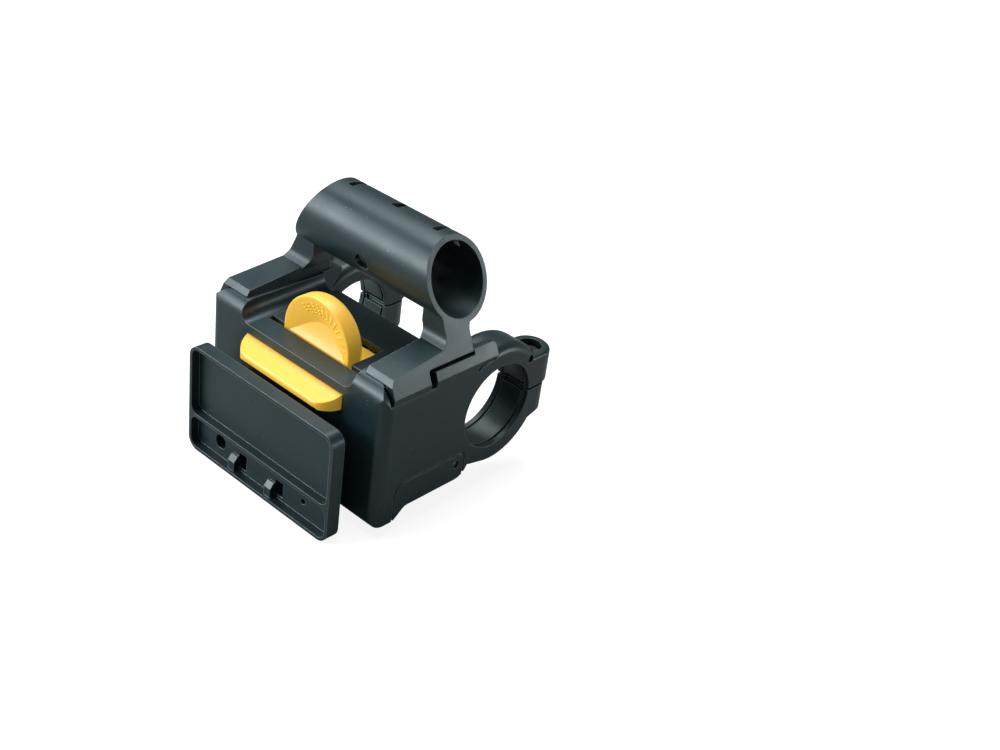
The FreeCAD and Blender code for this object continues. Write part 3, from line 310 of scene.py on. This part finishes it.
def solid_round(name, axis, radius, centre, length, vertices, end_radius=None):
    """A closed cylinder along X or Y, or a cone along Y that narrows towards the back."""
    turn_to = {"X": (0.0, math.radians(90), 0.0), "Y": (math.radians(-90), 0.0, 0.0)}[axis]
    bpy.ops.object.select_all(action="DESELECT")
    bpy.ops.mesh.primitive_cone_add(
        vertices=vertices, radius1=radius, radius2=radius if end_radius is None else end_radius,
        depth=length, location=centre, rotation=turn_to)
    round_piece = bpy.context.object
    round_piece.name = name
    bpy.ops.object.transform_apply(location=True, rotation=True, scale=True)
    return round_piece


def select_where(piece, kind, rule):
    """In edit mode, selects the faces or edges whose middle meets a rule."""
    bpy.ops.mesh.select_mode(type=kind)
    bpy.ops.mesh.select_all(action="DESELECT")
    mesh = bmesh.from_edit_mesh(piece.data)
    if kind == "FACE":
        for face in mesh.faces:
            face.select_set(rule(face.calc_center_median(), face.normal))
    else:
        for edge in mesh.edges:
            first, last = (corner.co for corner in edge.verts)
            edge.select_set(rule((first + last) / 2, (last - first).normalized()))
    bmesh.update_edit_mesh(piece.data)


def combine(piece, operation, other):
    """Applies a Boolean with another closed piece, which is then deleted."""
    bpy.ops.object.select_all(action="DESELECT")
    piece.select_set(True)
    bpy.context.view_layer.objects.active = piece
    modifier = piece.modifiers.new(operation.lower(), "BOOLEAN")
    modifier.operation = operation
    modifier.solver = "EXACT"
    modifier.object = other
    bpy.ops.object.modifier_apply(modifier=modifier.name)
    bpy.data.objects.remove(other)


# the round thumb tab: a disc with rounded rims, straight below its middle
TAB_FRONT = -0.0453
TAB_THICKNESS = 0.0083
TAB_RADIUS = 0.0158
TAB_LEVEL = 0.0200
SLIDE_LEVEL = 0.0170
SUNK_INTO_SLIDE = 0.0005
latch = solid_round("release_latch_moulding", "Y", TAB_RADIUS,
                    (0.0, TAB_FRONT + TAB_THICKNESS / 2, TAB_LEVEL), TAB_THICKNESS, 144)
bpy.ops.object.mode_set(mode="EDIT")
select_where(latch, "EDGE", lambda middle, along: middle.y < TAB_FRONT + 0.0001)
bpy.ops.mesh.bevel(offset=0.0006, segments=4, affect="EDGES")
select_where(latch, "EDGE", lambda middle, along: middle.y > TAB_FRONT + TAB_THICKNESS - 0.0001)
bpy.ops.mesh.bevel(offset=0.0045, segments=10, affect="EDGES")
bpy.ops.mesh.select_all(action="SELECT")
bpy.ops.mesh.bisect(
    plane_co=(0.0, 0.0, TAB_LEVEL), plane_no=(0.0, 0.0, 1.0), use_fill=True, clear_inner=True)
select_where(latch, "FACE", lambda middle, normal: middle.z < TAB_LEVEL + 0.00001)
bpy.ops.mesh.extrude_region_move(
    TRANSFORM_OT_translate={"value": (0.0, 0.0, SLIDE_LEVEL - SUNK_INTO_SLIDE - TAB_LEVEL)})
bpy.ops.mesh.select_all(action="SELECT")
bpy.ops.mesh.normals_make_consistent(inside=False)
bpy.ops.object.mode_set(mode="OBJECT")

# the dish: a wide band that slants in from the rim, and the hollow ramp at the foot
DISH_RADIUS = 0.0151
BAND_SLOPE = 0.337
FRONT_EXCESS = 0.0010
CONE_TIP_RADIUS = 0.0005
RAMP_RADIUS = 0.0250
RAMP_CENTRE = (0.0, -0.0666, 0.0306)
RAMP_LENGTH = 0.060
cone_length = FRONT_EXCESS + BAND_SLOPE * (DISH_RADIUS - CONE_TIP_RADIUS)
dish = solid_round("dish", "Y", DISH_RADIUS + FRONT_EXCESS / BAND_SLOPE,
                   (0.0, TAB_FRONT - FRONT_EXCESS + cone_length / 2, TAB_LEVEL), cone_length, 144,
                   end_radius=CONE_TIP_RADIUS)
ramp_body = solid_round("ramp_body", "X", RAMP_RADIUS, RAMP_CENTRE, RAMP_LENGTH, 360)
combine(dish, "INTERSECT", ramp_body)
combine(latch, "DIFFERENCE", dish)

# the slide under the tab with its two spring seats
SLIDE_HALF = 0.0201
SLIDE_FRONT = -0.0460
SLIDE_BACK = -0.0310
LATCH_UNDERSIDE = 0.0096
slide = solid_box(
    "slide", (-SLIDE_HALF, SLIDE_FRONT, LATCH_UNDERSIDE), (SLIDE_HALF, SLIDE_BACK, SLIDE_LEVEL))
bpy.ops.object.mode_set(mode="EDIT")
select_where(slide, "EDGE", lambda middle, along: middle.z > SLIDE_LEVEL - 0.0001)
bpy.ops.mesh.bevel(offset=0.0003, segments=3, affect="EDGES")
bpy.ops.object.mode_set(mode="OBJECT")
SEAT_RADIUS = 0.0027
SEAT_OFFSET = 0.0085
SEAT_LEVEL = 0.0133
SEAT_MIDDLE = -0.0320
SEAT_LENGTH = 0.0040
for side in (-1, 1):
    seat_centre = (side * SEAT_OFFSET, SEAT_MIDDLE, SEAT_LEVEL)
    seat = solid_round("spring_seat", "Y", SEAT_RADIUS, seat_centre, SEAT_LENGTH, 32)
    combine(slide, "DIFFERENCE", seat)
combine(latch, "UNION", slide)

# the wedge bar that the bag's frame pushes back and that then locks over it
WEDGE_HALF = 0.0232
NOSE_HALF = 0.0190
WEDGE_HIGH = 0.0151
WEDGE_FRONT = -0.0544
WEDGE_BACK = -0.0385
SHOULDER = (-0.0566, 0.01407, WEDGE_HALF)
NOSE = (-0.0610, 0.0120, NOSE_HALF)
wedge = solid_box(
    "wedge", (-WEDGE_HALF, WEDGE_FRONT, LATCH_UNDERSIDE), (WEDGE_HALF, WEDGE_BACK, WEDGE_HIGH))
bpy.ops.object.mode_set(mode="EDIT")
for reach, level, half in (SHOULDER, NOSE):
    front = min(corner.co.y for corner in bmesh.from_edit_mesh(wedge.data).verts)
    select_where(wedge, "FACE", lambda middle, normal: normal.y < -0.9 and middle.y < front + 0.0001)
    bpy.ops.mesh.extrude_region_move(TRANSFORM_OT_translate={"value": (0.0, reach - front, 0.0)})
    before = max(corner.co.x for corner in bmesh.from_edit_mesh(wedge.data).verts if corner.select)
    high = max(corner.co.z for corner in bmesh.from_edit_mesh(wedge.data).verts if corner.select)
    bpy.ops.transform.resize(
        value=(half / before, 1.0, (level - LATCH_UNDERSIDE) / (high - LATCH_UNDERSIDE)),
        center_override=(0.0, reach, LATCH_UNDERSIDE))
select_where(wedge, "EDGE", lambda middle, along: abs(along.z) > 0.8 and middle.y < -0.0560)
bpy.ops.mesh.bevel(offset=0.0024, segments=8, affect="EDGES")
select_where(wedge, "EDGE", lambda middle, along: middle.y < -0.0607 and abs(along.x) > 0.9)
bpy.ops.mesh.bevel(offset=0.0009, segments=4, affect="EDGES")
bpy.ops.mesh.select_all(action="SELECT")
bpy.ops.mesh.normals_make_consistent(inside=False)
bpy.ops.object.mode_set(mode="OBJECT")
combine(latch, "UNION", wedge)
bpy.ops.object.mode_set(mode="EDIT")
bpy.ops.mesh.select_all(action="SELECT")
bpy.ops.mesh.remove_doubles(threshold=0.000002)
bpy.ops.mesh.normals_make_consistent(inside=False)
bpy.ops.object.mode_set(mode="OBJECT")
bpy.ops.object.shade_smooth_by_angle(angle=math.radians(28))
latch.data.materials.clear()
latch.data.materials.append(yellow_acetal)
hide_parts("release_latch")
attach(latch, "latch")
bpy.ops.object.select_all(action="DESELECT")

# Thumb dots: short columns of round bumps across the band, of the same moulding but too small to
# let light through. They are coloured lighter than the band as a painted highlight, and their orange
# emission is a painted glow.
dot_acetal = moulded_plastic(
    "dot_acetal", colour=(0.90, 0.58, 0.090, 1.0), pale=(0.90, 0.58, 0.09, 1.0),
    painted_edge_colour=(0.90, 0.58, 0.09, 1.0), roughness=0.26, grain=0.05, edge_radius=0.0001,
    gloss_tint=(1.0, 1.0, 1.0, 1.0), grain_scale=1500.0)
dot_shader = dot_acetal.node_tree.nodes["Principled BSDF"]
dot_shader.inputs["Emission Color"].default_value = (1.0, 0.46, 0.02, 1.0)
dot_shader.inputs["Emission Strength"].default_value = 0.20
DOT_RADIUS = 0.00048
DOT_COLUMNS = 12
FIRST_COLUMN_DEGREES = 9
COLUMN_STEP_DEGREES = 10.7
DOT_DISTANCES = (0.0130, 0.0118, 0.0106, 0.0094)
SHORT_COLUMNS = (0, 1, 11)
bpy.ops.mesh.primitive_ico_sphere_add(subdivisions=2, radius=DOT_RADIUS)
dot = bpy.context.object
bpy.ops.object.mode_set(mode="EDIT")
bpy.ops.mesh.select_all(action="SELECT")
bpy.ops.transform.resize(value=(1.0, 0.8, 1.0))
bpy.ops.object.mode_set(mode="OBJECT")
dots = []
for column in range(DOT_COLUMNS):
    angle = math.radians(FIRST_COLUMN_DEGREES + COLUMN_STEP_DEGREES * column)
    for distance in DOT_DISTANCES:
        if distance == DOT_DISTANCES[-1] and column in SHORT_COLUMNS:
            continue
        across = distance * math.cos(angle)
        level = TAB_LEVEL + distance * math.sin(angle)
        deep = TAB_FRONT + BAND_SLOPE * (DISH_RADIUS - distance)
        copy = dot.copy()
        copy.data = dot.data.copy()
        bpy.context.scene.collection.objects.link(copy)
        copy.data.transform(Matrix.Translation((across, deep, level)))
        dots.append(copy)
bpy.data.objects.remove(dot)
bpy.ops.object.select_all(action="DESELECT")
for copy in dots:
    copy.select_set(True)
bpy.context.view_layer.objects.active = dots[0]
bpy.ops.object.join()
thumb_dots = bpy.context.object
thumb_dots.name = "thumb_dots"
bpy.ops.object.shade_smooth()
thumb_dots.data.materials.clear()
thumb_dots.data.materials.append(dot_acetal)
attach(thumb_dots, "latch")
bpy.ops.object.select_all(action="DESELECT")

# Fasteners, hinge pins and springs: zinc-plated screws, washers and nuts, plain turned pins and
# drawn spring wire.


def plain_steel(name, colour, roughness, line_scale):
    """Steel with fine lines from turning or drawing and a slightly uneven plating."""
    steel = bpy.data.materials.new(name)
    steel.use_nodes = True
    tree = steel.node_tree
    shader = tree.nodes["Principled BSDF"]
    shader.inputs["Metallic"].default_value = 1.0
    texture = placed(tree, grain_group, Grain_Scale=line_scale)
    bright = tuple(min(1.0, c * 1.25) for c in colour[:3]) + (1.0,)
    shade = mixed_colour(tree, texture.outputs["Cloud"], colour, bright)
    tree.links.new(shade, shader.inputs["Base Color"])
    sheen = ramp(tree, texture.outputs["Height"], 0.3, 0.7, roughness - 0.06, roughness + 0.08)
    tree.links.new(sheen.outputs["Result"], shader.inputs["Roughness"])
    edges = placed(tree, edge_group, Radius=0.0002)
    tree.links.new(edges.outputs["Normal"], shader.inputs["Normal"])
    return steel


dark_zinc = plain_steel("dark_zinc", (0.055, 0.060, 0.064, 1.0), 0.42, 2500.0)
for name in ("clamp_bolt_left", "clamp_bolt_right", "clamp_washer_left", "clamp_washer_right"):
    finish_node(name, dark_zinc)
zinc_plate = plain_steel("zinc_plate", (0.50, 0.51, 0.53, 1.0), 0.34, 2500.0)
for name in ("clamp_nut_left", "clamp_nut_right", "cover_screws", "bracket_screws"):
    finish_node(name, zinc_plate)
turned_pin = plain_steel("turned_pin", (0.42, 0.43, 0.44, 1.0), 0.30, 3500.0)
for name in ("hinge_pin_left", "hinge_pin_right"):
    finish_node(name, turned_pin)
drawn_wire = plain_steel("drawn_wire", (0.50, 0.50, 0.51, 1.0), 0.25, 3000.0)
for name in ("latch_spring_left", "latch_spring_right"):
    finish_node(name, drawn_wire)
